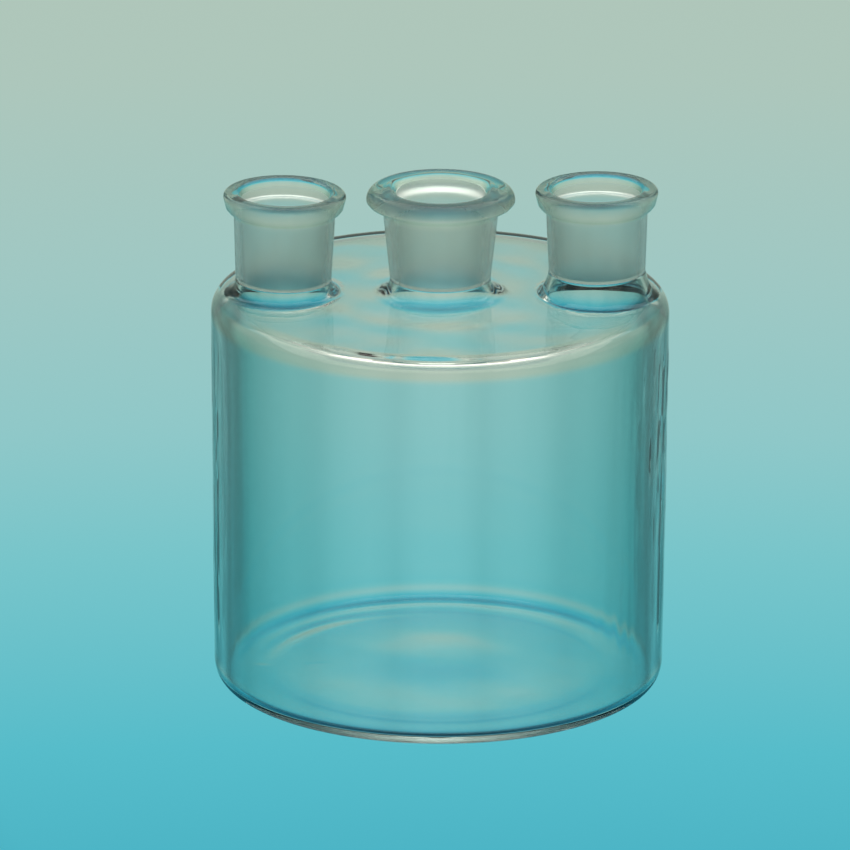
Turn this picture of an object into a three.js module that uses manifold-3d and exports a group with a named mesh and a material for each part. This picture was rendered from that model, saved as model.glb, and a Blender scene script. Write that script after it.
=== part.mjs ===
// Three-neck glass reaction vessel: a squat, flat-bottomed cylindrical body with three upright
// conical ground-glass sockets fused in one row along its flat top.
//
// Millimetres, +Z up. The origin is the centre of the base, on the plane the vessel stands on.
// The necks stand in a row along X: left at -X, centre on the axis, right at +X.

import * as THREE from "three";
import { mergeVertices } from "three/addons/utils/BufferGeometryUtils.js";
import Module from "manifold-3d";

const wasm = await Module();
wasm.setup();

// ---------------------------------------------------------------- driving dimensions

// Body: one piece of heavy tube, closed to a flat top and a flat base. It is a little wider at the
// shoulder than at the heel.
const BODY_RADIUS_TOP = 75.5;
const BODY_RADIUS_FOOT = 74.4;
const BODY_HEIGHT = 133.2;
const BODY_WALL = 3.6;
const SHOULDER_LENGTH = 15.5; // along the outside, from the wall to the flat top
const SHOULDER_LENGTH_INSIDE = 10.5;
const SHOULDER_SKEW = 0.85;
const HEEL_LENGTH = 17;
const HEEL_LENGTH_INSIDE = 7.5;
const HEEL_SKEW = 1;
const TOP_THICKNESS = 3.8;
const TOP_CROWN = 0.9; // how far the top is domed, over the inside of the wall
const BASE_THICKNESS = 3.4;
const FOOT_LAND_INSIDE = 54; // the vessel stands on the ring between here and the heel
const BASE_PUSH_UP = 1.2; // how far the middle of the base stands clear of the table
const PUSH_UP_MIDWAY = 0.8; // the share of that at half the land's radius

// Sockets: standard 1:10 taper, size 29/32.
const JOINT_LARGE_RADIUS = 14.6;
const JOINT_TAPER = 1 / 20; // radius lost for each millimetre of depth
const SEAM_GAP = 0.3; // between a socket and the stub of the body it is fused to
const FOOT_BURIED = 0.1; // how far a stub's flare runs into the body's top
const CUT_OVERRUN = 1; // how far a cutting shape runs past what it cuts

// Necks. Heights are above the plane of the body's top. A side neck leans in a little.
const SIDE_OFFSET = 51.6;
const SIDE_LEAN_DEG = 0.7;

const CENTRE_NECK = {
  name: "centre_socket",
  offset: 0,
  leanDeg: 0,
  seamHeight: 5.2,
  seamRadius: 16.6,
  flareFoot: 21.8,
  flarePull: new THREE.Vector2(16.7, 0.1),
  boreFoot: 23,
  borePull: new THREE.Vector2(14.8, -TOP_THICKNESS),
  rimTop: 35.9,
  mouthDepth: 1.6, // from the rim's top to the large end of the taper
  rim: rolledRim,
};
const LEFT_NECK = {
  name: "left_socket",
  offset: -SIDE_OFFSET,
  leanDeg: SIDE_LEAN_DEG,
  seamHeight: 4.4,
  seamRadius: 15.8,
  flareFoot: 19.6,
  flarePull: new THREE.Vector2(15.9, 0.1),
  boreFoot: 18.6,
  borePull: new THREE.Vector2(14.6, -TOP_THICKNESS),
  rimTop: 34.2,
  mouthDepth: 2.6,
  rim: flangedRim,
};
const RIGHT_NECK = {
  name: "right_socket",
  offset: SIDE_OFFSET,
  leanDeg: -SIDE_LEAN_DEG,
  seamHeight: 7.8,
  seamRadius: 15.9,
  flareFoot: 20.4,
  flarePull: new THREE.Vector2(17.3, 0.9),
  boreFoot: 18.6,
  borePull: new THREE.Vector2(16, -0.5),
  rimTop: 36.1,
  mouthDepth: 2.6,
  rim: flangedRim,
};
const NECKS = [LEFT_NECK, CENTRE_NECK, RIGHT_NECK];

// Facets round each turned shape, and steps along each round stretch of its profile.
const BODY_SIDES = 64;
const NECK_SIDES = 40;
const ARC_STEPS = 5;
const CORNER_STEPS = 8;
const CROWN_STEPS = 5;

// ---------------------------------------------------------------- profiles and turned solids

const point = (r, z) => new THREE.Vector2(r, z);

// Points of an arc about (r, z), from one angle to another in degrees: 0 points outwards, 90 up.
function arc(r, z, radius, fromDeg, toDeg, steps = ARC_STEPS) {
  const points = [];
  for (let i = 0; i <= steps; i++) {
    const angle = THREE.MathUtils.degToRad(fromDeg + ((toDeg - fromDeg) * i) / steps);
    points.push(point(r + radius * Math.cos(angle), z + radius * Math.sin(angle)));
  }
  return points;
}

// Points of a bend that leaves `from` towards `pull` and arrives at `to`.
function bend(from, pull, to, steps = ARC_STEPS) {
  return new THREE.QuadraticBezierCurve(from, pull, to).getPoints(steps);
}

// Points of a quarter turn from straight up at the wall radius r to straight in at the height z.
// The bend comes and goes gradually over the length. A skew under 1 bends it sooner after the
// wall, and leaves the end nearer the top longer and flatter.
function softCorner(r, z, length, skew) {
  const heading = (i) => {
    const t = (i / CORNER_STEPS) ** skew;
    return (Math.PI / 2) * (1 + t - Math.sin(2 * Math.PI * t) / (2 * Math.PI));
  };
  const step = length / CORNER_STEPS;
  const points = [point(r, 0)];
  for (let i = 0; i < CORNER_STEPS; i++) {
    const way = (heading(i) + heading(i + 1)) / 2;
    const last = points[points.length - 1];
    points.push(point(last.x + step * Math.cos(way), last.y + step * Math.sin(way)));
  }
  const rise = z - points[CORNER_STEPS].y;
  return points.map((p) => point(p.x, p.y + rise));
}

// The geometry made by turning a profile of (radius, height) points about Z.
function turned(profile, sides) {
  return new THREE.LatheGeometry(profile, sides).rotateX(Math.PI / 2);
}

function solidOf(geometry) {
  const bare = geometry.clone();
  bare.deleteAttribute("normal");
  bare.deleteAttribute("uv");
  const merged = mergeVertices(bare);
  return new wasm.Manifold(
    new wasm.Mesh({
      numProp: 3,
      vertProperties: merged.attributes.position.array,
      triVerts: new Uint32Array(merged.index.array),
    }),
  );
}

function geometryOf(solid) {
  const mesh = solid.getMesh();
  const geometry = new THREE.BufferGeometry();
  geometry.setAttribute("position", new THREE.BufferAttribute(mesh.vertProperties, mesh.numProp));
  geometry.setIndex(new THREE.BufferAttribute(mesh.triVerts, 1));
  geometry.computeVertexNormals();
  return geometry;
}

// ---------------------------------------------------------------- body

// How far the slightly domed top stands above its own edge, at a radius.
function crownAt(r) {
  const share = Math.min(r / (BODY_RADIUS_TOP - BODY_WALL), 1);
  return TOP_CROWN * (0.5 + 0.5 * Math.cos(Math.PI * share));
}

// A body surface's profile, from the middle of the floor out, up the wall and in over the top.
function bodyProfile(wallFoot, wallTop, floor, ceiling, heelLength, shoulderLength) {
  const heel = softCorner(wallFoot, 0, heelLength, HEEL_SKEW).reverse();
  const shoulder = softCorner(wallTop, ceiling, shoulderLength, SHOULDER_SKEW);
  const flatRadius = shoulder[CORNER_STEPS].x;
  const top = [];
  for (let i = 1; i <= CROWN_STEPS; i++) {
    top.push(point(flatRadius * (1 - i / CROWN_STEPS), ceiling));
  }
  return [
    point(0, floor + BASE_PUSH_UP),
    point(FOOT_LAND_INSIDE / 2, floor + BASE_PUSH_UP * PUSH_UP_MIDWAY),
    point(FOOT_LAND_INSIDE, floor),
    ...heel.map((p) => point(p.x, floor - p.y)),
    ...[...shoulder, ...top].map((p) => point(p.x, p.y + crownAt(p.x))),
  ];
}

function bodyOutside() {
  return bodyProfile(
    BODY_RADIUS_FOOT,
    BODY_RADIUS_TOP,
    0,
    BODY_HEIGHT,
    HEEL_LENGTH,
    SHOULDER_LENGTH,
  );
}

function bodyInside() {
  return bodyProfile(
    BODY_RADIUS_FOOT - BODY_WALL,
    BODY_RADIUS_TOP - BODY_WALL,
    BASE_THICKNESS,
    BODY_HEIGHT - TOP_THICKNESS,
    HEEL_LENGTH_INSIDE,
    SHOULDER_LENGTH_INSIDE,
  );
}

// The taper's radius at a height above the body's top.
function boreRadius(neck, height) {
  return JOINT_LARGE_RADIUS - (neck.rimTop - neck.mouthDepth - height) * JOINT_TAPER;
}

// Where a neck stands: its foot is on the body's top, and its axis leans towards the middle.
function neckPlace(neck) {
  const lean = new THREE.Matrix4().makeRotationY(THREE.MathUtils.degToRad(neck.leanDeg));
  return lean.setPosition(neck.offset, 0, BODY_HEIGHT);
}

// A flared stub drawn up out of the body's top, solid, up to the seam.
function stubOutside(neck) {
  const seam = point(neck.seamRadius, neck.seamHeight - SEAM_GAP / 2);
  const foot = point(neck.flareFoot, -FOOT_BURIED);
  const buried = -TOP_THICKNESS / 2;
  return [
    point(0, buried),
    point(neck.flareFoot, buried),
    ...bend(seam, neck.flarePull, foot).reverse(),
    point(0, seam.y),
  ];
}

// The way through that stub, from above the seam down into the body.
function stubBore(neck) {
  const seam = point(boreRadius(neck, neck.seamHeight), neck.seamHeight);
  const ceiling = point(neck.boreFoot, -TOP_THICKNESS);
  return [
    point(0, ceiling.y - CUT_OVERRUN),
    point(ceiling.x, ceiling.y - CUT_OVERRUN),
    ...bend(seam, neck.borePull, ceiling).reverse(),
    point(seam.x, seam.y + CUT_OVERRUN),
    point(0, seam.y + CUT_OVERRUN),
  ];
}

function bodyGeometry() {
  let solid = solidOf(turned(bodyOutside(), BODY_SIDES));
  for (const neck of NECKS) {
    const stub = turned(stubOutside(neck), NECK_SIDES).applyMatrix4(neckPlace(neck));
    solid = solid.add(solidOf(stub));
  }
  solid = solid.subtract(solidOf(turned(bodyInside(), BODY_SIDES)));
  for (const neck of NECKS) {
    const bore = turned(stubBore(neck), NECK_SIDES).applyMatrix4(neckPlace(neck));
    solid = solid.subtract(solidOf(bore));
  }
  return geometryOf(solid);
}

// ---------------------------------------------------------------- sockets

// A rim function gives the outside from the tube's top edge, over the flat land on top, to the
// mouth. Heights run down from the rim's top.

// The centre neck's rim: a thick rolled bead.
function rolledRim(top) {
  const bead = 3.9;
  const beadCentre = point(20.6, top - bead);
  return [
    point(19.0, top - 8.5),
    point(19.7, top - 7.1),
    point(22.1, top - 6.1),
    point(23.8, top - 5.2),
    ...arc(beadCentre.x, beadCentre.y, bead, -5, 90),
    point(18.4, top),
    point(16.6, top - 0.3),
    point(15.4, top - 0.9),
  ];
}

// A side neck's rim: a flat flange with a slightly tapering edge and a rounded underside.
function flangedRim(top) {
  const corner = 1.7;
  const edge = 20.2;
  return [
    point(16.7, top - 8.0),
    point(17.0, top - 7.2),
    point(18.5, top - 6.3),
    point(19.5, top - 5.0),
    ...arc(edge - corner, top - corner, corner, 0, 90, 3),
    point(15.9, top),
    point(14.9, top - 0.6),
  ];
}

function socketProfile(neck) {
  const bottom = neck.seamHeight + SEAM_GAP / 2;
  const boreBottom = point(boreRadius(neck, bottom), bottom);
  return [
    boreBottom,
    point(neck.seamRadius, bottom),
    ...neck.rim(neck.rimTop),
    point(JOINT_LARGE_RADIUS, neck.rimTop - neck.mouthDepth),
    boreBottom.clone(),
  ];
}

// ---------------------------------------------------------------- the vessel

function glass(color, roughness) {
  return new THREE.MeshStandardMaterial({
    color,
    roughness,
    metalness: 0,
    transparent: true,
    opacity: 0.4,
  });
}

function bodyMesh() {
  const mesh = new THREE.Mesh(bodyGeometry(), glass("#bcd6d2", 0.02));
  mesh.name = "vessel_body";
  return mesh;
}

function socketMesh(neck) {
  const mesh = new THREE.Mesh(turned(socketProfile(neck), NECK_SIDES), glass("#aebcb6", 0.45));
  mesh.name = neck.name;
  mesh.applyMatrix4(neckPlace(neck));
  return mesh;
}

const vessel = new THREE.Group();
vessel.add(bodyMesh());
for (const neck of NECKS) vessel.add(socketMesh(neck));

export default vessel;
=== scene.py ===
import math

import bpy
import numpy as np
from mathutils import Matrix, Vector
from mathutils.geometry import delaunay_2d_cdt


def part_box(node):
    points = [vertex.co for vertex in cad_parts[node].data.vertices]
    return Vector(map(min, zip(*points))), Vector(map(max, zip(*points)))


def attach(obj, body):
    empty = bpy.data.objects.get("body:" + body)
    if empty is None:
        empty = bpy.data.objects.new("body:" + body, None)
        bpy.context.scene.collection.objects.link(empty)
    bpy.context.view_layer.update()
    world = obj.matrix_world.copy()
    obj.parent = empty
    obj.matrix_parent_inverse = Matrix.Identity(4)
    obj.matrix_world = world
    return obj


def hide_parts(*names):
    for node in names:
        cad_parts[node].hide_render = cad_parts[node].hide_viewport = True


# A three-neck glass vessel: one smooth glass body and three ground-glass sockets fused on top of it.
# Shapes are worked out in millimetres in the CAD frame and turned into metres when a mesh is made.

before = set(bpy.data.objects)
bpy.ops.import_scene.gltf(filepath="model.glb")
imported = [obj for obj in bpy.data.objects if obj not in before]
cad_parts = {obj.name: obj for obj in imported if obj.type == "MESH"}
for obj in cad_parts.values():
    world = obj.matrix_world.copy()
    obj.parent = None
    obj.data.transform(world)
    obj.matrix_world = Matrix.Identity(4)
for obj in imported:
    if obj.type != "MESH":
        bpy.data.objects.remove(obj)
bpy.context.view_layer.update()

MM = 0.001
FULL_TURN = 2 * math.pi


# ------------------------------------------------------------------ dimensions, as in the CAD

body_low, body_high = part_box("vessel_body")
BODY_RADIUS_TOP = (body_high[0] - body_low[0]) / 2 / MM
BODY_TAPER = 1.1
BODY_RADIUS_FOOT = BODY_RADIUS_TOP - BODY_TAPER
BODY_HEIGHT = 133.2
BODY_WALL = 3.6
SHOULDER_LENGTH = 15.5  # along the outside, from the wall to the flat top
SHOULDER_LENGTH_INSIDE = 10.5
SHOULDER_SKEW = 0.85
HEEL_LENGTH = 17.0
HEEL_LENGTH_INSIDE = 7.5
TOP_THICKNESS = 3.8
TOP_CROWN = 0.9
BASE_THICKNESS = 3.4
FOOT_LAND_INSIDE = 54.0  # the radius where the flat ring that the vessel stands on begins
BASE_PUSH_UP = 1.2
PUSH_UP_MIDWAY = 0.8  # the share of the push-up that is left half-way out to the flat ring

JOINT_LARGE_RADIUS = 14.6
JOINT_TAPER = 1 / 20
SIDE_OFFSET = 51.6
SIDE_LEAN = math.radians(0.7)

# A rim's profile runs from the tube, out under the rim, round its edge and over to the mouth.
# Its points are a radius and a drop below the top of the rim.
ROLLED = {
    "under": [(19.0, 8.5), (19.7, 7.1), (22.1, 6.1), (23.8, 5.2)],
    "radius": 24.5, "edge_round": 3.9, "edge_from": -5, "edge_steps": 22,
    "over": [(18.4, 0.0), (16.6, 0.3), (15.4, 0.9)], "over_steps": 6,
}
FLANGED = {
    "under": [(16.7, 8.0), (17.0, 7.2), (18.5, 6.3), (19.5, 5.0)],
    "radius": 20.2, "edge_round": 1.7, "edge_from": 0, "edge_steps": 14,
    "over": [(15.9, 0.0), (14.9, 0.6)], "over_steps": 4,
}

CENTRE = {
    "node": "centre_socket", "offset": 0.0, "lean": 0.0,
    "seam_height": 5.2, "seam_radius": 16.6, "flare_foot": 21.8, "flare_pull": (16.7, 0.1),
    "bore_foot": 23.0, "bore_pull": (14.8, -TOP_THICKNESS),
    "rim_top": 35.9, "mouth_depth": 1.6, "rim": ROLLED,
}
LEFT = {
    "node": "left_socket", "offset": -SIDE_OFFSET, "lean": SIDE_LEAN,
    "seam_height": 4.4, "seam_radius": 15.8, "flare_foot": 19.6, "flare_pull": (15.9, 0.1),
    "bore_foot": 18.6, "bore_pull": (14.6, -TOP_THICKNESS),
    "rim_top": 34.2, "mouth_depth": 2.6, "rim": FLANGED,
}
RIGHT = {
    "node": "right_socket", "offset": SIDE_OFFSET, "lean": -SIDE_LEAN,
    "seam_height": 7.8, "seam_radius": 15.9, "flare_foot": 20.4, "flare_pull": (17.3, 0.9),
    "bore_foot": 18.6, "bore_pull": (16.0, -0.5),
    "rim_top": 36.1, "mouth_depth": 2.6, "rim": FLANGED,
}
NECKS = [LEFT, CENTRE, RIGHT]


# ------------------------------------------------------------------ how fine the meshes are

BODY_SIDES = 400
NECK_SIDES = 192
SHEET_SPACING = 1.6  # between the points of the top's sheets
EDGE_BAND = 10.0  # the top's sheets are meshed in close rings over this width, where they bend
EDGE_STEP = 0.8
HOLE_CLEARANCE = 0.6 * EDGE_STEP  # between those points and the rings of the necks
JOIN_MARGIN = 0.5  # between the turned wall and the outermost foot of a side neck
DISH_START = 2.0  # the radius of the base's first ring
DISH_STEPS = 20
WALL_STEPS = 36
TOP_STEPS = 60
STUB_STEPS = 16
TUBE_STEPS = 24
BORE_STEPS = 40
THROAT_STEPS = 4
UNDER_RIM_STEPS = 8


# ------------------------------------------------------------------ profiles

def arc(r, z, radius, start, end, steps):
    angles = np.radians(np.linspace(start, end, steps + 1))
    return np.column_stack([r + radius * np.cos(angles), z + radius * np.sin(angles)])


def bend(start, pull, end, steps):
    t = np.linspace(0, 1, steps + 1)[:, None]
    start, pull, end = (np.array(p, float) for p in (start, pull, end))
    return (1 - t) ** 2 * start + 2 * t * (1 - t) * pull + t**2 * end


def line(start, end, steps):
    t = np.linspace(0, 1, steps + 1)[:, None]
    return (1 - t) * np.array(start, float) + t * np.array(end, float)


def curve_through(points, steps):
    """A smooth curve through the points: Catmull-Rom, with its ends carried straight on."""
    p = np.array(points, float)
    p = np.vstack([2 * p[0] - p[1], p, 2 * p[-1] - p[-2]])
    t = np.linspace(0, 1, steps, endpoint=False)[:, None]
    out = []
    for a, b, c, d in zip(p[:-3], p[1:-2], p[2:-1], p[3:]):
        out.append(
            0.5 * (2 * b + (c - a) * t + (2 * a - 5 * b + 4 * c - d) * t**2
                   + (3 * b - a - 3 * c + d) * t**3)
        )
    out.append(p[-2][None, :])
    return np.vstack(out)


def soft_corner(r, z, length, steps, skew=1.0):
    """A quarter turn from straight up to straight in, that ends at the wall radius r and the top
    height z. Its bend comes and goes gradually over the length, as worked glass does. A skew
    under 1 bends it sooner after the wall and leaves the top longer and flatter."""
    t = np.linspace(0, 1, steps + 1) ** skew
    heading = math.pi / 2 * (1 + t - np.sin(FULL_TURN * t) / FULL_TURN)
    middle = (heading[1:] + heading[:-1]) / 2
    turns = np.column_stack([np.cos(middle), np.sin(middle)]) * length / steps
    points = np.vstack([[0.0, 0.0], np.cumsum(turns, axis=0)])
    return points + np.array([r, z - points[-1][1]])


def joined(*parts):
    """One profile out of several, without the points that repeat where two meet."""
    same_place = 1e-4
    points = np.vstack(parts)
    keep = [0]
    for i in range(1, len(points)):
        if np.hypot(*(points[i] - points[keep[-1]])) > same_place:
            keep.append(i)
    return points[keep]


# ------------------------------------------------------------------ mesh making

class Shell:
    """Vertices in millimetres, and faces with a material number each."""

    def __init__(self):
        self.points = []
        self.faces = []
        self.slots = []

    def add_points(self, points):
        first = len(self.points)
        self.points.extend(map(tuple, points))
        return np.arange(first, len(self.points))

    def add_face(self, corners, slot):
        self.faces.append([int(c) for c in corners])
        self.slots.append(slot)

    def bridge(self, lower, upper, slot, flip=False):
        """Quads between two closed rings of the same number of points."""
        n = len(lower)
        for i in range(n):
            j = (i + 1) % n
            quad = [lower[i], lower[j], upper[j], upper[i]]
            self.add_face(quad[::-1] if flip else quad, slot)

    def turn(self, profile, sides, slot, flip=False, place=None):
        """Rings for every profile point, bridged one to the next. Returns the first and last ring."""
        angles = np.linspace(0, FULL_TURN, sides, endpoint=False)
        rings = []
        for r, z in profile:
            points = np.column_stack(
                [r * np.cos(angles), r * np.sin(angles), np.full(sides, z)]
            )
            if place is not None:
                points = place(points)
            rings.append(self.add_points(points))
        for lower, upper in zip(rings, rings[1:]):
            self.bridge(lower, upper, slot, flip)
        return rings[0], rings[-1]

    def cap(self, ring, centre, slot, flip=False):
        middle = self.add_points([centre])[0]
        n = len(ring)
        for i in range(n):
            triangle = [ring[i], ring[(i + 1) % n], middle]
            self.add_face(triangle[::-1] if flip else triangle, slot)

    def object(self, name, materials, warp=None):
        points = np.array(self.points)
        if warp is not None:
            points = warp(points)
        mesh = bpy.data.meshes.new(name)
        mesh.from_pydata((points * MM).tolist(), [], self.faces)
        for material in materials:
            mesh.materials.append(material)
        mesh.polygons.foreach_set("material_index", self.slots)
        mesh.polygons.foreach_set("use_smooth", [True] * len(self.faces))
        mesh.update()
        mesh.validate()
        made = bpy.data.objects.new(name, mesh)
        bpy.context.scene.collection.objects.link(made)
        return made


# ------------------------------------------------------------------ necks

def neck_place(neck):
    """Takes points of a neck standing on the plane z = 0 to where the neck is on the body."""
    cos, sin = math.cos(neck["lean"]), math.sin(neck["lean"])

    def place(points):
        x, y, z = points.T
        return np.column_stack(
            [neck["offset"] + cos * x + sin * z, y, BODY_HEIGHT - sin * x + cos * z]
        )

    return place


def bore_radius(neck, height):
    """The radius of a neck's tapered bore at a height over the body's top."""
    return JOINT_LARGE_RADIUS - (neck["rim_top"] - neck["mouth_depth"] - height) * JOINT_TAPER


def rim_profile(rim, top):
    def from_top(points):
        return [(r, top - drop) for r, drop in points]

    edge_round = rim["edge_round"]
    under = curve_through(from_top(rim["under"]), UNDER_RIM_STEPS)
    edge = arc(
        rim["radius"] - edge_round, top - edge_round, edge_round,
        rim["edge_from"], 90, rim["edge_steps"]
    )
    over = curve_through(from_top(rim["over"]), rim["over_steps"])
    return joined(under, edge, over)


# ------------------------------------------------------------------ the body's two surfaces

def crowned(points):
    """Raises a top's profile towards the middle: the flat top was left very slightly domed."""
    share = np.minimum(points[:, 0] / (BODY_RADIUS_TOP - BODY_WALL), 1)
    rise = TOP_CROWN * (0.5 + 0.5 * np.cos(math.pi * share))
    return points + np.column_stack([np.zeros(len(points)), rise])


def top_profile(radius, height, length, steps):
    """A shoulder's corner, and on in to the axis."""
    corner = soft_corner(radius, height, length, steps, SHOULDER_SKEW)
    return crowned(joined(corner, line(corner[-1], (0, height), TOP_STEPS)))


def stub_outside(neck):
    """The profile of a stub's outside, from its foot up to its seam."""
    seam = (neck["seam_radius"], neck["seam_height"])
    return bend((neck["flare_foot"], 0.0), neck["flare_pull"], seam, STUB_STEPS)


def stub_inside(neck):
    seam = (bore_radius(neck, neck["seam_height"]), neck["seam_height"])
    return bend((neck["bore_foot"], -TOP_THICKNESS), neck["bore_pull"], seam, STUB_STEPS)


OUTSIDE = {
    "inward": False, "floor": 0.0, "radius_foot": BODY_RADIUS_FOOT,
    "heel_length": HEEL_LENGTH, "heel_steps": 60, "land_steps": 6,
    "top": top_profile(BODY_RADIUS_TOP, BODY_HEIGHT, SHOULDER_LENGTH, 40),
    "stub": stub_outside, "stub_foot": "flare_foot",
}
INSIDE = {
    "inward": True, "floor": BASE_THICKNESS, "radius_foot": BODY_RADIUS_FOOT - BODY_WALL,
    "heel_length": HEEL_LENGTH_INSIDE, "heel_steps": 44, "land_steps": 8,
    "top": top_profile(
        BODY_RADIUS_TOP - BODY_WALL, BODY_HEIGHT - TOP_THICKNESS, SHOULDER_LENGTH_INSIDE, 34
    ),
    "stub": stub_inside, "stub_foot": "bore_foot",
}


def heel(surface):
    """The corner from a surface's floor up to the wall."""
    corner = soft_corner(
        surface["radius_foot"], 0, surface["heel_length"], surface["heel_steps"]
    )
    return corner[::-1] * [1, -1] + [0, surface["floor"]]


def dish(floor):
    """The base's shallow push-up, from near its middle out to the flat ring."""
    return curve_through(
        [(DISH_START, floor + BASE_PUSH_UP),
         (FOOT_LAND_INSIDE * 0.5, floor + BASE_PUSH_UP * PUSH_UP_MIDWAY),
         (FOOT_LAND_INSIDE, floor + 0.05)], DISH_STEPS
    )


def shoulder(surface):
    """The points of a top's profile that belong to the turned wall: those clear of the side necks."""
    reach = SIDE_OFFSET + RIGHT[surface["stub_foot"]] + JOIN_MARGIN
    top = surface["top"]
    return top[:int(np.sum(top[:, 0] > reach))]


def turned_profile(surface):
    """All of a surface but its top: base, flat ring, heel, wall and shoulder."""
    foot, upper = heel(surface), shoulder(surface)
    land = line((FOOT_LAND_INSIDE + 1, surface["floor"]), foot[0], surface["land_steps"])
    return joined(
        dish(surface["floor"]), land, foot, line(foot[-1], upper[0], WALL_STEPS), upper
    )


def height_on(profile):
    """The height of a top over a point, from its profile."""
    def height_at(x, y):
        return np.interp(np.hypot(x, y), profile[::-1, 0], profile[::-1, 1])
    return height_at


def sheet_points(outer_radius, holes):
    """Points spread over a disc with holes: a triangular grid, and close rings near its edge."""
    flat_radius = outer_radius - EDGE_BAND
    spread = []
    row_step = SHEET_SPACING * math.sqrt(3) / 2
    for row, y in enumerate(np.arange(-flat_radius, flat_radius, row_step)):
        shift = (row % 2) * SHEET_SPACING / 2
        for x in np.arange(-flat_radius + shift, flat_radius, SHEET_SPACING):
            if math.hypot(x, y) < flat_radius:
                spread.append((x, y))
    for radius in np.arange(flat_radius + EDGE_STEP, outer_radius - EDGE_STEP / 2, EDGE_STEP):
        for turn in np.linspace(0, FULL_TURN, BODY_SIDES, endpoint=False):
            spread.append((radius * math.cos(turn), radius * math.sin(turn)))
    spread = np.array(spread)
    for _, centre, radius in holes:
        spread = spread[np.hypot(*(spread - centre).T) > radius + HOLE_CLEARANCE]
    return spread


def in_a_hole(point, holes):
    just_inside = 0.9995
    return any(
        math.hypot(point.x - centre[0], point.y - centre[1]) < radius * just_inside
        for _, centre, radius in holes
    )


def sheet_between(shell, outer_ring, holes, height_at, slot, flip):
    """A sheet of triangles from an outer ring in to the rings of its holes. holes is a list of
    (ring, centre, radius) as seen from above."""
    all_points = np.array(shell.points)
    flat, number, edges = [], [], []
    for ring in [outer_ring] + [hole[0] for hole in holes]:
        first, n = len(flat), len(ring)
        flat.extend(all_points[ring][:, :2])
        number.extend(ring)
        edges.extend((first + i, first + (i + 1) % n) for i in range(n))
    outer_radius = np.hypot(*all_points[outer_ring[0]][:2])
    spread = sheet_points(outer_radius, holes)
    heights = height_at(spread[:, 0], spread[:, 1])
    number.extend(shell.add_points(np.column_stack([spread, heights])))
    flat.extend(spread)
    merge_distance = 1e-7
    verts, _, triangles, origin, _, _ = delaunay_2d_cdt(
        [Vector(p) for p in flat], edges, [], 0, merge_distance
    )
    for triangle in triangles:
        corners = [number[origin[v][0]] for v in triangle]
        middle = sum((verts[v] for v in triangle), Vector((0, 0))) / 3
        if not in_a_hole(middle, holes):
            shell.add_face(corners[::-1] if flip else corners, slot)


def add_stub(shell, neck, profile, height_at, slot, flip):
    """Turns a stub's profile. Its seam leans with the neck, and its foot follows the body's top.
    Returns the foot ring and the seam ring."""
    place = neck_place(neck)
    foot, top = profile[0][1], profile[-1][1]
    follow = 1.5  # over 1, the stub's upper part follows the body's top less

    def settle(points):
        placed = place(points)
        share = np.clip((top - points[:, 2]) / (top - foot), 0, 1) ** follow
        level = height_at(placed[:, 0], placed[:, 1]) - (BODY_HEIGHT + foot)
        placed[:, 2] += share * level
        if math.isclose(points[0, 2], foot, abs_tol=1e-9):
            placed[:, 0] = neck["offset"] + points[:, 0]
            placed[:, 2] = height_at(placed[:, 0], placed[:, 1])
        return placed

    return shell.turn(profile, NECK_SIDES, slot, flip, settle)


def add_surface(shell, surface, slot):
    """The body's outside or inside, with its three stubs. Returns the rings at the stubs' seams."""
    inward = surface["inward"]
    height_at = height_on(surface["top"])
    first, last = shell.turn(turned_profile(surface), BODY_SIDES, slot, flip=inward)
    shell.cap(first, (0, 0, surface["floor"] + BASE_PUSH_UP), slot, flip=not inward)
    holes, seams = [], []
    for neck in NECKS:
        foot, seam = add_stub(shell, neck, surface["stub"](neck), height_at, slot, inward)
        holes.append((foot, (neck["offset"], 0.0), neck[surface["stub_foot"]]))
        seams.append(seam)
    sheet_between(shell, last, holes, height_at, slot, inward)
    return seams


# ------------------------------------------------------------------ unevenness of the glass

# How high each pattern stands, in millimetres.
TOP_WAVE = 0.05
TOP_RIPPLE = 0.05
BASE_WAVE = 0.012
BASE_RING = 0.24
BASE_RIDGE = 0.42
STREAK = 0.024
KNOT = 0.05
BROAD = 0.004

# Each random pattern: how many waves, their shortest and longest length, and how they are stretched.
TOP_WAVES = (24, 18, 40)
BASE_WAVES = (30, 16, 44)
STREAK_WAVES = (40, 3.2, 14, (1, 1, 24))
KNOT_WAVES = (40, 2.6, 9, (1, 1, 3.5))
BROAD_WAVES = (20, 40, 120, (1, 1, 2))

WALL_RADIUS = 75.0  # the wall's patterns are laid out round a cylinder of this radius
RING_PERIOD = 60.0
RING_BACK = 6.0  # the ring in the base is this far behind the axis
RIPPLE_START = 22.0
RIPPLE_PERIOD = 19.0
RIDGE_RADIUS = 57.0
RIDGE_WIDTH = 2.6
RIDGE_DRIFT = 0.05  # how much further out the ridge gets with each degree
SEED_OUTSIDE = 11
SEED_INSIDE = 47


def waves(seed, count, shortest, longest, stretch=(1, 1, 1)):
    """A smooth random field of points: the sum of plane waves. Its size is about one."""
    rng = np.random.default_rng(seed)
    way = rng.normal(size=(count, 3))
    way /= np.linalg.norm(way, axis=1)[:, None]
    length = shortest * (longest / shortest) ** rng.random(count)
    k = FULL_TURN * way / length[:, None] / np.array(stretch)
    phase = rng.random(count) * FULL_TURN

    def field(points):
        return np.cos(points @ k.T + phase).sum(axis=1) / math.sqrt(count / 2)

    return field


def fade(value, start, end):
    """0 at start, 1 at end, and smooth between."""
    t = np.clip((value - start) / (end - start), 0, 1)
    return t * t * (3 - 2 * t)


def bump(angle, at, width):
    """A smooth bump in the angle round the body, in degrees."""
    off = (angle - at + 180) % 360 - 180
    return np.exp(-((off / width) ** 2))


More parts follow.
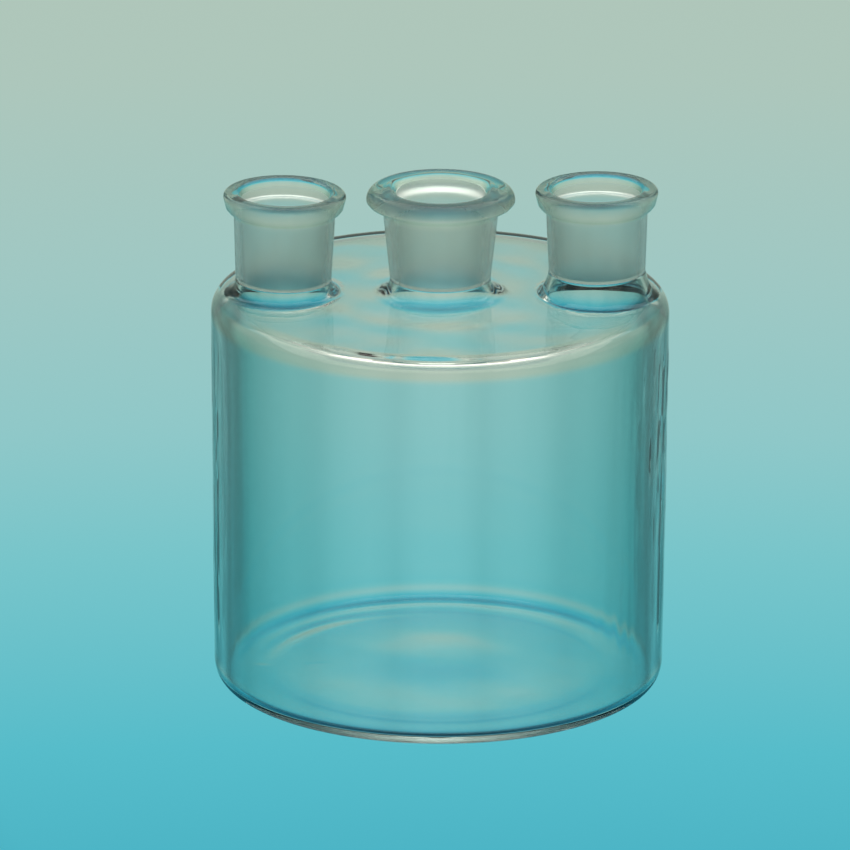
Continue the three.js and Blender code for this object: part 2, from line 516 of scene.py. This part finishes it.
def top_lift(points, seed, inside):
    """A gently wavy top, with a ripple round the centre neck on its underside."""
    x, y, z = points.T
    r = np.hypot(x, y)
    lift = TOP_WAVE * waves(seed, *TOP_WAVES)(points)
    if inside:
        ripple = np.cos(FULL_TURN * (r - RIPPLE_START) / RIPPLE_PERIOD)
        lift += TOP_RIPPLE * ripple * (1 - fade(r, 34, 56))
    near_top = fade(z, BODY_HEIGHT - 12, BODY_HEIGHT - 4)
    below_stubs = 1 - fade(z, BODY_HEIGHT + 1, BODY_HEIGHT + 4)
    return lift * near_top * below_stubs * (1 - fade(r, 56, 70))


def base_lift(points, seed, inside):
    """A faint wave in the base, and on its upper face a broad ring and a ridge at the back left."""
    x, y, z = points.T
    r, angle = np.hypot(x, y), np.degrees(np.arctan2(y, x))
    lift = BASE_WAVE * waves(seed, *BASE_WAVES)(points)
    if inside:
        off = np.hypot(x, y - RING_BACK)
        ring = -np.cos(FULL_TURN * off / RING_PERIOD) * (1 - fade(off, 52, 64))
        from_ridge = r - RIDGE_RADIUS - RIDGE_DRIFT * (angle - 150)
        ridge = np.exp(-((from_ridge / RIDGE_WIDTH) ** 2)) * bump(angle, 140, 28)
        lift += BASE_RING * ring + BASE_RIDGE * ridge
    return lift * (1 - fade(z, 6, 14)) * (1 - 0.8 * fade(r, 60, 70))


def wall_swell(points, seed):
    """Long streaks in the wall, strongest at its left and right, and knots, most of them right."""
    x, y, z = points.T
    turn = np.arctan2(y, x)
    angle = np.degrees(turn)
    on_wall = np.column_stack([np.cos(turn), np.sin(turn), z / WALL_RADIUS]) * WALL_RADIUS
    streaks = waves(seed, *STREAK_WAVES)(on_wall)
    knots = waves(seed + 1, *KNOT_WAVES)(on_wall)
    broad = waves(seed + 2, *BROAD_WAVES)(on_wall)
    streaky = 0.04 + 1.3 * bump(angle, 0, 22) + bump(angle, -33, 8) + 1.1 * bump(angle, 184, 19)
    knotty = 1.3 * bump(angle, -8, 15) * fade(z, 40, 66) + 0.5 * bump(angle, 186, 13)
    above_heel = fade(np.hypot(x, y), 60, 68) * fade(z, 12, 34)
    below_shoulder = 1 - fade(z, BODY_HEIGHT - 22, BODY_HEIGHT - 6)
    swell = STREAK * streaky * streaks + KNOT * knotty * knots + BROAD * broad
    return swell * above_heel * below_shoulder


def warp_body(points, seed, inside):
    """The unevenness of drawn and worked glass: a wavy top, a rippled base and a streaked wall."""
    x, y, z = points.T
    lift = top_lift(points, seed, inside) + base_lift(points, seed + 1, inside)
    scale = 1 + wall_swell(points, seed + 2) / np.maximum(np.hypot(x, y), 1)
    return np.column_stack([x * scale, y * scale, z + lift])


# ------------------------------------------------------------------ the pieces

def make_body(clear, weld):
    shell = Shell()
    outside = add_surface(shell, OUTSIDE, 0)
    split = len(shell.points)
    inside = add_surface(shell, INSIDE, 0)
    for outer, inner in zip(outside, inside):
        shell.bridge(outer, inner, 1)

    def warp(points):
        return np.vstack([
            warp_body(points[:split], SEED_OUTSIDE, False),
            warp_body(points[split:], SEED_INSIDE, True),
        ])

    return shell.object("glass_body", [clear, weld], warp)


def make_socket(neck, clear, ground, weld, hazy):
    """A neck above its seam: tube, rim, throat and ground bore. The seam is a flat ring."""
    shell = Shell()
    place = neck_place(neck)
    bottom = neck["seam_height"]
    rim = rim_profile(neck["rim"], neck["rim_top"])
    mouth = (JOINT_LARGE_RADIUS, neck["rim_top"] - neck["mouth_depth"])
    throat = line(rim[-1], mouth, THROAT_STEPS)
    bore = line(mouth, (bore_radius(neck, bottom), bottom), BORE_STEPS)
    tube = line((neck["seam_radius"], bottom), rim[0], TUBE_STEPS)
    slots = [clear, ground, weld, hazy]
    on_clear, on_ground, on_weld, on_hazy = range(len(slots))
    lowest, shelf = shell.turn(tube, NECK_SIDES, on_hazy, place=place)
    edge, lip = shell.turn(joined(rim[1:], throat), NECK_SIDES, on_clear, place=place)
    shell.bridge(shelf, edge, on_clear)
    mouth_ring, foot_ring = shell.turn(bore[1:], NECK_SIDES, on_ground, place=place)
    shell.bridge(lip, mouth_ring, on_ground)
    shell.bridge(foot_ring, lowest, on_weld)
    return shell.object(neck["node"].replace("_socket", "_neck"), slots)


# ------------------------------------------------------------------ node helpers

def new_material(name):
    material = bpy.data.materials.new(name)
    material.use_nodes = True
    nodes = material.node_tree.nodes
    nodes.clear()
    out = nodes.new("ShaderNodeOutputMaterial")
    return material, nodes, material.node_tree.links, out


def add_ramp(nodes, links, value, stops, span=1.0):
    """A colour ramp over a value. Each stop is where it is, up to the span, and its colour."""
    ramp = nodes.new("ShaderNodeValToRGB")
    elements = ramp.color_ramp.elements
    while len(elements) > 1:
        elements.remove(elements[0])
    for i, (at, colour) in enumerate(stops):
        stop = elements[0] if i == 0 else elements.new(at / span)
        stop.position = at / span
        stop.color = (*colour, 1)
    links.new(value, ramp.inputs[0])
    return ramp.outputs[0]


def add_math(nodes, links, operation, first, second=None):
    node = nodes.new("ShaderNodeMath")
    node.operation = operation
    for socket, value in zip(node.inputs, (first, second)):
        if value is None:
            continue
        if isinstance(value, (int, float)):
            socket.default_value = value
        else:
            links.new(value, socket)
    return node.outputs[0]


def add_product(nodes, links, first, second):
    mix = nodes.new("ShaderNodeMix")
    mix.data_type = "RGBA"
    mix.blend_type = "MULTIPLY"
    mix.inputs["Factor"].default_value = 1
    links.new(first, mix.inputs["A"])
    links.new(second, mix.inputs["B"])
    return mix.outputs["Result"]


def add_mix(nodes, links, factor, first, second):
    mix = nodes.new("ShaderNodeMix")
    mix.data_type = "RGBA"
    links.new(factor, mix.inputs["Factor"])
    for value, name in ((first, "A"), (second, "B")):
        if isinstance(value, tuple):
            mix.inputs[name].default_value = (*value, 1)
        else:
            links.new(value, mix.inputs[name])
    return mix.outputs["Result"]


def add_noise(nodes, links, place, scale, detail):
    noise = nodes.new("ShaderNodeTexNoise")
    noise.inputs["Scale"].default_value = scale
    noise.inputs["Detail"].default_value = detail
    links.new(place, noise.inputs["Vector"])
    return noise.outputs["Fac"]


def add_split(nodes, links, vector):
    split = nodes.new("ShaderNodeSeparateXYZ")
    links.new(vector, split.inputs[0])
    return split.outputs


# ------------------------------------------------------------------ glass

GLASS_IOR = 1.47
DEPTH_STOPS = 21
DEPTH_POWER = 1.2
PAINTED_BORDER_AT = 0.66  # how far turned away the wall is where its painted shade border lies
PAINTED_BORDER_WIDTH = 0.07


def add_glass(nodes, roughness):
    glass = nodes.new("ShaderNodeBsdfPrincipled")
    glass.inputs["Roughness"].default_value = roughness
    glass.inputs["IOR"].default_value = GLASS_IOR
    glass.inputs["Transmission Weight"].default_value = 1.0
    return glass


def add_depth_and_shade_ramp(nodes, links, depth_and_shade, colour, edge):
    """The glass's colour, deepened and darkened the more a surface is turned away: partly the glass's
    own colour seen along a longer path, partly painted shade. The edge is painted shade: how much
    darker a wall's border is."""
    facing = nodes.new("ShaderNodeLayerWeight")
    facing.inputs["Blend"].default_value = 0.5
    stops = []
    for f in np.linspace(0, 1, DEPTH_STOPS):
        # Painted shade: a darker band at one amount of turning away, and a darkening that grows with
        # the turning away, partly the glass's own colour along a longer path.
        painted_border_shade = 1 - edge * math.exp(-(((f - PAINTED_BORDER_AT) / PAINTED_BORDER_WIDTH) ** 2))
        shade = [painted_border_shade * math.exp(-k * f**DEPTH_POWER) * c for k, c in zip(depth_and_shade, colour)]
        stops.append((f, shade))
    return add_ramp(nodes, links, facing.outputs["Facing"], stops)


def add_cords(nodes, links, colour):
    """The faint uneven streaks that drawn glass has, along its length."""
    place = nodes.new("ShaderNodeTexCoord")
    stretch = nodes.new("ShaderNodeMapping")
    stretch.inputs["Scale"].default_value = (90, 90, 9)
    links.new(place.outputs["Object"], stretch.inputs["Vector"])
    cords = add_noise(nodes, links, stretch.outputs["Vector"], 1.0, 3.0)
    shade = add_ramp(nodes, links, cords, [(0.35, (0.965, 0.985, 0.98)), (0.65, (1, 1, 1))])
    return add_product(nodes, links, colour, shade)


def clear_glass(name, colour, depth_and_shade, roughness=0.0):
    material, nodes, links, out = new_material(name)
    glass = add_glass(nodes, roughness)
    # The colour deepens and darkens on turned-away surfaces: partly the glass's own colour, partly
    # painted shade; there is no border band here.
    tint_and_shade = add_depth_and_shade_ramp(nodes, links, depth_and_shade, colour, 0.0)
    links.new(add_cords(nodes, links, tint_and_shade), glass.inputs["Base Color"])
    links.new(glass.outputs[0], out.inputs["Surface"])
    return material


def body_glass(name, wall, depth_and_shade, edge, top, base):
    """The body's glass: its upright wall has the depth ramp, partly painted shade, with a painted
    shade border, and its flat ends a plain colour.
    """
    material, nodes, links, out = new_material(name)
    glass = add_glass(nodes, 0.0)
    place = nodes.new("ShaderNodeNewGeometry")
    normal = add_split(nodes, links, place.outputs["Normal"])
    position = add_split(nodes, links, place.outputs["Position"])
    flat = add_math(nodes, links, "POWER", normal["Z"], 2.0)
    upper = add_math(nodes, links, "GREATER_THAN", position["Z"], BODY_HEIGHT / 2 * MM)
    ends = add_mix(nodes, links, upper, base, top)
    # The wall's colour is darker where it turns away and darker still in a border band: painted
    # shade, partly the glass's own colour.
    side = add_depth_and_shade_ramp(nodes, links, depth_and_shade, wall, edge)
    tint_and_shade = add_mix(nodes, links, flat, side, ends)
    links.new(add_cords(nodes, links, tint_and_shade), glass.inputs["Base Color"])
    links.new(glass.outputs[0], out.inputs["Surface"])
    return material


def ground_glass(name, colour):
    """Glass ground with grit: matt, a little uneven, and slightly pitted."""
    material, nodes, links, out = new_material(name)
    glass = add_glass(nodes, 0.5)
    place = nodes.new("ShaderNodeTexCoord").outputs["Object"]
    cloud = add_noise(nodes, links, place, 120.0, 4.0)
    dark = tuple(0.95 * c for c in colour)
    shade = add_ramp(nodes, links, cloud, [(0.3, dark), (0.7, colour)])
    links.new(shade, glass.inputs["Base Color"])
    matt = nodes.new("ShaderNodeMapRange")
    matt.inputs["To Min"].default_value = 0.44
    matt.inputs["To Max"].default_value = 0.56
    links.new(cloud, matt.inputs["Value"])
    links.new(matt.outputs["Result"], glass.inputs["Roughness"])
    pits = nodes.new("ShaderNodeBump")
    pits.inputs["Strength"].default_value = 0.25
    pits.inputs["Distance"].default_value = 0.0001
    links.new(add_noise(nodes, links, place, 2200.0, 2.0), pits.inputs["Height"])
    links.new(pits.outputs["Normal"], glass.inputs["Normal"])
    links.new(glass.outputs[0], out.inputs["Surface"])
    return material


def weld_clear(name):
    """The hidden faces where two pieces of glass are fused: light passes straight on."""
    material, nodes, links, out = new_material(name)
    clear = nodes.new("ShaderNodeBsdfTransparent")
    links.new(clear.outputs[0], out.inputs["Surface"])
    return material


# ------------------------------------------------------------------ the vessel

NECK_COLOUR = (0.97, 0.995, 0.975)
# edge paints shade into the wall's colour as a darker border; depth darkens turned-away walls, partly
# painted shade.
CLEAR = body_glass(
    "clear_borosilicate", wall=(0.97, 0.99, 0.985), depth_and_shade=(1.95, 0.93, 0.93), edge=0.72,
    top=(0.985, 0.99, 0.96), base=(0.81, 0.99, 1.0)
)
RIM_CLEAR = clear_glass("rim_borosilicate", NECK_COLOUR, (0.7, 0.22, 0.48))
HAZY = clear_glass("hazy_borosilicate", NECK_COLOUR, (0.2, 0.1, 0.15), roughness=0.16)
GROUND = ground_glass("ground_borosilicate", (0.96, 0.99, 0.965))
WELD = weld_clear("fused_seam")

body = make_body(CLEAR, WELD)
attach(body, "root")
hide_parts("vessel_body")

for neck in NECKS:
    socket = make_socket(neck, RIM_CLEAR, GROUND, WELD, HAZY)
    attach(socket, "root")
    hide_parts(neck["node"])


# ------------------------------------------------------------------ stage

FLOOR_DROP = 0.45  # metres below what the vessel stands on
FLOOR_RADIUS = 60.0
FLOOR_SIDES = 96
FLOOR_SPAN = 8.0  # the distance at the end of the colour ramp
FLOOR_STOPS = [  # distance from the middle in metres, and the colour there
    (0.0, (0.004, 0.03, 0.05)),
    (0.5, (0.01, 0.15, 0.24)),
    (0.9, (0.05, 0.41, 0.53)),
    (1.19, (0.095, 0.505, 0.59)),
    (1.45, (0.19, 0.56, 0.592)),
    (1.62, (0.275, 0.577, 0.58)),
    (1.85, (0.345, 0.577, 0.55)),
    (2.2, (0.42, 0.57, 0.50)),
    (2.6, (0.445, 0.56, 0.475)),
    (4.0, (0.45, 0.555, 0.47)),
    (7.0, (0.45, 0.55, 0.465)),
]
WORLD_STOPS = [  # sine of the height above the horizon, and the colour there
    (0.0, (0.45, 0.55, 0.465)),
    (0.08, (0.46, 0.56, 0.475)),
    (0.16, (0.36, 0.44, 0.40)),
    (0.31, (0.30, 0.41, 0.37)),
    (0.38, (0.46, 0.48, 0.41)),
    (0.50, (0.52, 0.51, 0.43)),
    (0.65, (0.45, 0.48, 0.42)),
    (0.82, (0.40, 0.47, 0.42)),
    (0.93, (0.80, 0.98, 0.88)),
]
PANELS = 8  # lit panels round the vessel, with dark gaps between
PANEL_STOPS = [  # distance from a panel's middle, in parts of the panels' spacing, and its shade
    (0.21, (1, 1, 1)),
    (0.35, (0.7, 0.75, 0.76)),
    (0.5, (0.38, 0.47, 0.48)),
]


def add_panels(nodes, links, way):
    """How lit a direction is: 1 in front of a panel, and dark in the gaps."""
    turn = add_math(nodes, links, "ARCTAN2", way["X"], way["Y"])
    share = add_math(nodes, links, "MULTIPLY", turn, PANELS / FULL_TURN)
    near = add_math(nodes, links, "PINGPONG", share, 0.5)
    return add_ramp(nodes, links, near, PANEL_STOPS)


def floor_material():
    material, nodes, links, out = new_material("floor_gradient")
    place = nodes.new("ShaderNodeNewGeometry")
    position = add_split(nodes, links, place.outputs["Position"])
    x2 = add_math(nodes, links, "POWER", position["X"], 2.0)
    y2 = add_math(nodes, links, "POWER", position["Y"], 2.0)
    distance = add_math(nodes, links, "SQRT", add_math(nodes, links, "ADD", x2, y2))
    share = add_math(nodes, links, "DIVIDE", distance, FLOOR_SPAN)
    gradient = add_ramp(nodes, links, share, FLOOR_STOPS, FLOOR_SPAN)
    colour = add_product(nodes, links, gradient, add_panels(nodes, links, position))
    glow = nodes.new("ShaderNodeEmission")
    links.new(colour, glow.inputs[0])
    links.new(glow.outputs[0], out.inputs["Surface"])
    return material


def make_floor():
    ring = [(math.cos(a) * FLOOR_RADIUS, math.sin(a) * FLOOR_RADIUS, -FLOOR_DROP)
            for a in np.linspace(0, FULL_TURN, FLOOR_SIDES, endpoint=False)]
    mesh = bpy.data.meshes.new("floor")
    mesh.from_pydata(ring, [], [list(range(FLOOR_SIDES))])
    mesh.materials.append(floor_material())
    floor = bpy.data.objects.new("floor", mesh)
    bpy.context.scene.collection.objects.link(floor)


def make_world():
    world = bpy.data.worlds.new("studio")
    world.use_nodes = True
    nodes, links = world.node_tree.nodes, world.node_tree.links
    nodes.clear()
    out = nodes.new("ShaderNodeOutputWorld")
    sky = nodes.new("ShaderNodeBackground")
    way = add_split(nodes, links, nodes.new("ShaderNodeTexCoord").outputs["Generated"])
    gradient = add_ramp(nodes, links, way["Z"], WORLD_STOPS)
    colour = add_product(nodes, links, gradient, add_panels(nodes, links, way))
    links.new(colour, sky.inputs["Color"])
    links.new(sky.outputs[0], out.inputs["Surface"])
    bpy.context.scene.world = world


def soft_light(name, location, target, width, height, power, colour):
    data = bpy.data.lights.new(name, "AREA")
    data.shape = "RECTANGLE"
    data.size, data.size_y = width, height
    data.energy = power
    data.color = colour
    light = bpy.data.objects.new(name, data)
    light.location = location
    way = Vector(target) - Vector(location)
    light.rotation_euler = way.to_track_quat("-Z", "Y").to_euler()
    light.visible_camera = False
    bpy.context.scene.collection.objects.link(light)


CAMERA_DISTANCE = 4.125  # metres from the middle of the body
CAMERA_ELEVATION = math.radians(18.54)
CAMERA_ROLL = math.radians(-0.308)
CAMERA_AIM_LEFT = math.radians(0.06521)  # the aim is a little left of the body's middle, and above it
CAMERA_AIM_UP = math.radians(0.27072)
CAMERA_LENS = 528.4  # millimetres, as is the sensor
CAMERA_SENSOR = 36.0
CAMERA_REACH = 200


def make_camera():
    middle = Vector((0, 0, BODY_HEIGHT / 2 * MM))
    back = Vector((0, -math.cos(CAMERA_ELEVATION), math.sin(CAMERA_ELEVATION)))
    right = Vector((1, 0, 0))
    up = back.cross(right)
    rolled_right = right * math.cos(CAMERA_ROLL) - up * math.sin(CAMERA_ROLL)
    rolled_up = right * math.sin(CAMERA_ROLL) + up * math.cos(CAMERA_ROLL)
    aim = -back - rolled_right * math.tan(CAMERA_AIM_LEFT) + rolled_up * math.tan(CAMERA_AIM_UP)
    ahead = aim.normalized()
    side = ahead.cross(rolled_up).normalized()
    top = side.cross(ahead)
    data = bpy.data.cameras.new("camera")
    data.sensor_width = CAMERA_SENSOR
    data.lens = CAMERA_LENS
    data.clip_end = CAMERA_REACH
    camera = bpy.data.objects.new("camera", data)
    turn = Matrix((side, top, -ahead)).transposed().to_4x4()
    camera.matrix_world = Matrix.Translation(middle + back * CAMERA_DISTANCE) @ turn
    bpy.context.scene.collection.objects.link(camera)
    bpy.context.scene.camera = camera


def set_light_paths(scene):
    """Light goes through many layers of glass here, so it may bounce often."""
    scene.cycles.max_bounces = 32
    scene.cycles.transmission_bounces = 32
    scene.cycles.transparent_max_bounces = 32
    scene.cycles.glossy_bounces = 16
    scene.cycles.caustics_refractive = True
    scene.cycles.caustics_reflective = True
    scene.cycles.sample_clamp_indirect = 10
    scene.cycles.use_denoising = True


make_floor()
make_world()
soft_light(
    "overhead", location=(0, 0.45, 1.5), target=(0, 0.15, 0.1),
    width=2.0, height=2.0, power=12, colour=(1.0, 0.92, 0.84)
)
make_camera()
set_light_paths(bpy.context.scene)
bpy.context.scene.view_settings.view_transform = "Standard"
